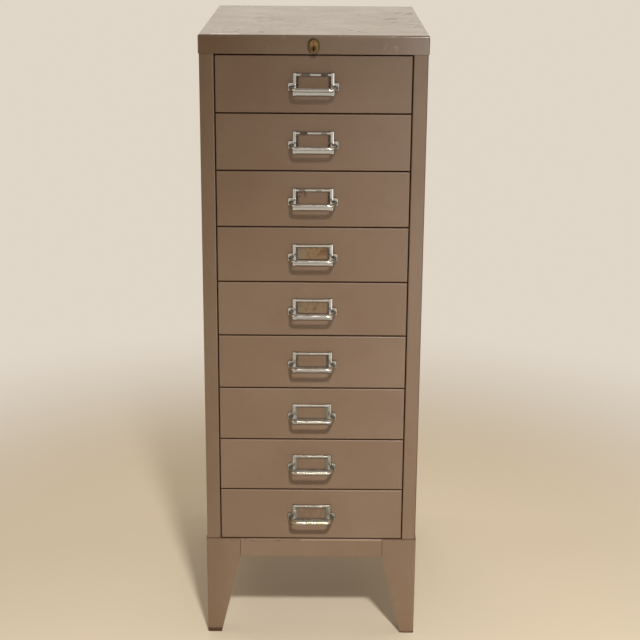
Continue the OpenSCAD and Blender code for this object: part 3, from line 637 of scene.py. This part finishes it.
def cardFinish(name, card, top):
    finish, tree, shader, place = startFinish(name)
    shifted = shiftedBy(tree, place, (card["seed"], 0, card["seed"]))
    axes = addStep(tree, "ShaderNodeSeparateXYZ", {0: place}).outputs
    paper = cardPaper

    def towardTop(start, end, least=0.0):
        # least at start millimetres below the upper edge, 1 at end
        return fade(tree, axes["Z"], (top - start) * mm, (top - end) * mm, least, 1.0)

    # paler towards the left
    leftness = fade(tree, axes["X"], paper["paleFrom"] * mm, paper["paleTo"] * mm, 1.0, 0.0)
    colour = mixTint(tree, times(tree, leftness, paper["paleness"]), card["paper"], card["pale"])

    # brown stains, strongest near the upper edge and at the right
    blotch = fade(tree, grain(tree, shifted, paper["blotch"]),
                  card["stainFrom"], card["stainFrom"] + paper["stainSpread"])
    stain = times(tree, blotch, towardTop(paper["stainFrom"], paper["stainTo"], paper["leastStain"]),
                  fade(tree, leftness, 0.0, 1.0, 1.0, paper["leastStain"]), paper["stainStrength"])
    colour = mixTint(tree, stain, colour, card["stain"])
    fibre = grain(tree, shifted, paper["fibre"])
    fibreTint = fade(tree, fibre, *paper["fibre"]["range"], 0.0, paper["fibre"]["tint"])
    colour = mixTint(tree, fibreTint, colour, card["stain"])

    # dark specks where the card was gripped under the upper lip
    specks = times(tree, patches(tree, shifted, paper["specks"]),
                   towardTop(paper["specksFrom"], paper["specksTo"]), card["specks"])
    colour = mixTint(tree, specks, colour, plating["shadeAndGrime"])
    plugIn(tree, shader, {"Base Color": colour, "Roughness": paper["roughness"],
                          "Normal": bumped(tree, fibre, paper["relief"]),
                          "Specular IOR Level": paper["specular"]})
    return finish


def cardPoint(card, top, u, v):
    # u runs from -1 to 1 across the card, v from 0 to 1 down it
    middle = 1 - u * u
    edgeBow = cardSheet["edgeBow"]
    bow = card["bow"] * middle * (edgeBow + (1 - edgeBow) * math.sin(math.pi * v))
    out = cardSheet["offFront"] + max(0.0, bow + card["lean"] * (v - 0.5) * middle)
    drop = v * cardSheet["height"]
    if v == 0:
        (slow, slowTurns), (quick, quickTurns) = cardSheet["fray"]
        drop += slow * math.sin(slowTurns * u + card["seed"]) + quick * math.sin(quickTurns * u)
    return (u * cardSheet["halfWidth"] * mm, (plating["frontY"] - out) * mm, (top - drop) * mm)


def makeCard(n):
    # a thin sheet held behind the frame's lips, bowed a little towards the window
    card = labelCards[n]
    top = frameTopZ(n) - cardSheet["fromTop"]
    across, down = cardSheet["across"], cardSheet["down"]
    sheet = bmesh.new()
    rows = []
    for j in range(down + 1):
        rows.append([sheet.verts.new(cardPoint(card, top, 2 * i / across - 1, j / down))
                     for i in range(across + 1)])
    for above, below in zip(rows, rows[1:]):
        for i in range(across):
            sheet.faces.new((above[i], below[i], below[i + 1], above[i + 1]))
    mesh = bpy.data.meshes.new("drawer_%d_card" % n)
    sheet.normal_update()
    sheet.to_mesh(mesh)
    sheet.free()
    for face in mesh.polygons:
        face.use_smooth = True
    mesh.materials.append(cardFinish("card %d" % n, card, top))
    piece = bpy.data.objects.new("drawer_%d_card" % n, mesh)
    bpy.context.scene.collection.objects.link(piece)
    solid = piece.modifiers.new("thickness", "SOLIDIFY")
    solid.thickness = cardSheet["thickness"] * mm
    solid.offset = -1.0
    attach(piece, "drawer_%d" % n)


for n in labelCards:
    makeCard(n)
print("cards made:", len(labelCards))


# Floor, backdrop, lights and camera

studio = {
    "floor": paintColour(202, 189, 168),
    "floorSize": 16.0,
    "floorRoughness": 0.75,
    "floorSpecular": 0.2,
    "backdrop": paintColour(224, 214, 200),
    "fadeFrom": 0.55,        # where the floor starts to turn into the backdrop
    "fadeTo": 1.75,
    "sky": paintColour(226, 212, 190),
    "ambientFront": 0.40,
    "ambientRear": 0.85,
    "ambientTurn": (-0.3, 0.6),
}


def seenDirectly(tree):
    # 1 for what the camera, a reflection or clear material sees, 0 for the light that falls on things
    path = addStep(tree, "ShaderNodeLightPath").outputs
    return calc(tree, "ADD", calc(tree, "ADD", path["Is Camera Ray"], path["Is Glossy Ray"]),
                path["Is Transmission Ray"], clamp=True)


def flatSheet(name, centre, across, up):
    # a rectangle around its centre
    centre, across, up = Vector(centre), Vector(across) / 2, Vector(up) / 2
    corners = [centre - across - up, centre + across - up, centre + across + up, centre - across + up]
    mesh = bpy.data.meshes.new(name)
    mesh.from_pydata(corners, [], [(0, 1, 2, 3)])
    sheet = bpy.data.objects.new(name, mesh)
    bpy.context.scene.collection.objects.link(sheet)
    return sheet


def makeFloor():
    size = studio["floorSize"]
    floor = flatSheet("floor", (0, 0, 0), (size, 0, 0), (0, size, 0))
    finish, tree, shader, place = startFinish("floor")
    plugIn(tree, shader, {"Base Color": studio["floor"], "Roughness": studio["floorRoughness"],
                          "Specular IOR Level": studio["floorSpecular"]})
    away = addStep(tree, "ShaderNodeVectorMath", {0: place}, operation="LENGTH").outputs["Value"]
    far = fade(tree, away, studio["fadeFrom"], studio["fadeTo"])
    glow = addStep(tree, "ShaderNodeEmission", {"Color": studio["backdrop"], "Strength": 1.0})
    both = addStep(tree, "ShaderNodeMixShader", {0: times(tree, far, seenDirectly(tree)),
                                                 1: shader.outputs[0], 2: glow.outputs[0]})
    plugIn(tree, tree.nodes["Material Output"], {"Surface": both.outputs[0]})
    floor.data.materials.append(finish)


def makeWorld():
    world = bpy.data.worlds.new("studio")
    bpy.context.scene.world = world
    world.use_nodes = True
    tree = world.node_tree
    seen = seenDirectly(tree)
    # the soft light that fills the shadows comes more from behind, as from a bright wall
    toward = addStep(tree, "ShaderNodeTexCoord").outputs["Generated"]
    rearward = addStep(tree, "ShaderNodeSeparateXYZ", {0: toward}).outputs["Y"]
    soft = fade(tree, rearward, *studio["ambientTurn"], studio["ambientFront"], studio["ambientRear"])
    level = plus(tree, times(tree, soft, calc(tree, "SUBTRACT", 1.0, seen)), seen)
    plugIn(tree, tree.nodes["Background"],
           {"Color": mixTint(tree, seen, studio["sky"], studio["backdrop"]), "Strength": level})


def hangLamp(name, lamp):
    # the main lamp is a soft-edged spot aimed low, the others are large soft panels
    kind = "SPOT" if "cone" in lamp else "AREA"
    light = bpy.data.lights.new(name, kind)
    if kind == "SPOT":
        light.shadow_soft_size = lamp["size"] / 2
        light.spot_size = math.radians(lamp["cone"])
        light.spot_blend = 1.0
    else:
        light.shape = "RECTANGLE"
        light.size, light.size_y = lamp["size"]
    light.energy = lamp["power"]
    light.color = lamp["colour"]
    holder = bpy.data.objects.new(name, light)
    holder.visible_camera = False
    holder.visible_glossy = lamp.get("mirrored", True)
    bpy.context.scene.collection.objects.link(holder)
    holder.location = lamp["place"]
    aim = Vector(lamp["aim"]) - Vector(lamp["place"])
    holder.rotation_euler = aim.to_track_quat("-Z", "Y").to_euler()


def hangCard(name, card):
    # a glowing card outside the picture that only reflections see: what the bright plating mirrors
    sheet = flatSheet(name, card["place"], card["across"], card["up"])
    sheet.visible_camera = sheet.visible_diffuse = sheet.visible_shadow = sheet.visible_transmission = False
    finish, tree = startFinish(name)[:2]
    glow = addStep(tree, "ShaderNodeEmission", {"Color": card["colour"], "Strength": card["glow"]})
    plugIn(tree, tree.nodes["Material Output"], {"Surface": glow.outputs[0]})
    sheet.data.materials.append(finish)


lamps = {
    "main lamp": {"place": (0.60, -3.50, 3.90), "aim": (0.12, -0.25, -1.68), "size": 0.35, "cone": 46.0,
                  "power": 1010.0, "colour": (1.0, 0.99, 0.965)},
    "left side fill": {"place": (-3.00, 0.40, 1.60), "aim": (0.0, 0.0, 0.60), "size": (2.0, 2.0),
                       "power": 22.0, "colour": (1.0, 0.98, 0.95), "mirrored": False},
    "right side fill": {"place": (3.00, 0.40, 1.60), "aim": (0.0, 0.0, 0.60), "size": (2.0, 2.0),
                        "power": 22.0, "colour": (1.0, 0.98, 0.95), "mirrored": False},
    "rear fill": {"place": (-0.30, 3.00, 2.60), "aim": (0.0, 0.0, 0.60), "size": (2.6, 2.2),
                  "power": 30.0, "colour": (1.0, 0.97, 0.94), "mirrored": False},
}
mirroredCards = {
    # dark ones, because bright plating needs something dark in it
    "front card": {"place": (-0.4, -5.6, 1.1), "across": (9.0, 0, 0), "up": (0, 0, 2.2),
                   "colour": paintColour(84, 72, 60), "glow": 1.0},
    "ceiling card": {"place": (0.0, -3.4, 4.6), "across": (9.0, 0, 0), "up": (0, 5.6, 0),
                     "colour": paintColour(112, 102, 90), "glow": 1.0},
    # the bright one that gives the highlights
    "window card": {"place": (1.45, -2.9, 1.1), "across": (2.3, 0, 0), "up": (0, -3.4, 2.2),
                    "colour": paintColour(238, 240, 242), "glow": 3.0},
    # the pale floor sheen that the lower drawers mirror
    "floor card": {"place": (0.0, -0.95, 0.004), "across": (2.6, 0, 0), "up": (0, -1.2, 0),
                   "colour": paintColour(220, 218, 212), "glow": 0.9},
    # what the flat faces of the upper frames mirror
    "low card": {"place": (-0.03, -4.3, 0.42), "across": (0.55, 0, 0), "up": (0, 0, 0.84),
                 "colour": paintColour(206, 200, 190), "glow": 1.0},
}

makeFloor()
makeWorld()
for name, lamp in lamps.items():
    hangLamp(name, lamp)
for name, card in mirroredCards.items():
    hangCard(name, card)
print("floor, world, lamps and mirrored cards placed")

# the photo's viewpoint: where it is, how far it looks down, turns and tilts in radians, and its lens
view = {"place": (0.01865, -2.7821, 1.4297), "down": 0.303984, "turn": -0.00188273, "tilt": 0.00678781,
        "lens": 82.13, "sensor": 36.0, "farthest": 60.0}


def makeCamera():
    down, turn, tilt = view["down"], view["turn"], view["tilt"]
    ahead = Vector((math.sin(turn) * math.cos(down), math.cos(turn) * math.cos(down), -math.sin(down)))
    level = Vector((math.cos(turn), -math.sin(turn), 0.0))
    above = level.cross(ahead)
    right = math.cos(tilt) * level + math.sin(tilt) * above
    top = -math.sin(tilt) * level + math.cos(tilt) * above
    lens = bpy.data.cameras.new("photo view")
    lens.lens = view["lens"]
    lens.sensor_width = view["sensor"]
    lens.clip_end = view["farthest"]
    camera = bpy.data.objects.new("photo view", lens)
    bpy.context.scene.collection.objects.link(camera)
    facing = Matrix((right, top, -ahead)).transposed().to_4x4()
    camera.matrix_world = Matrix.Translation(view["place"]) @ facing
    bpy.context.scene.camera = camera


makeCamera()
bpy.context.scene.view_settings.view_transform = "Standard"
print("camera placed")
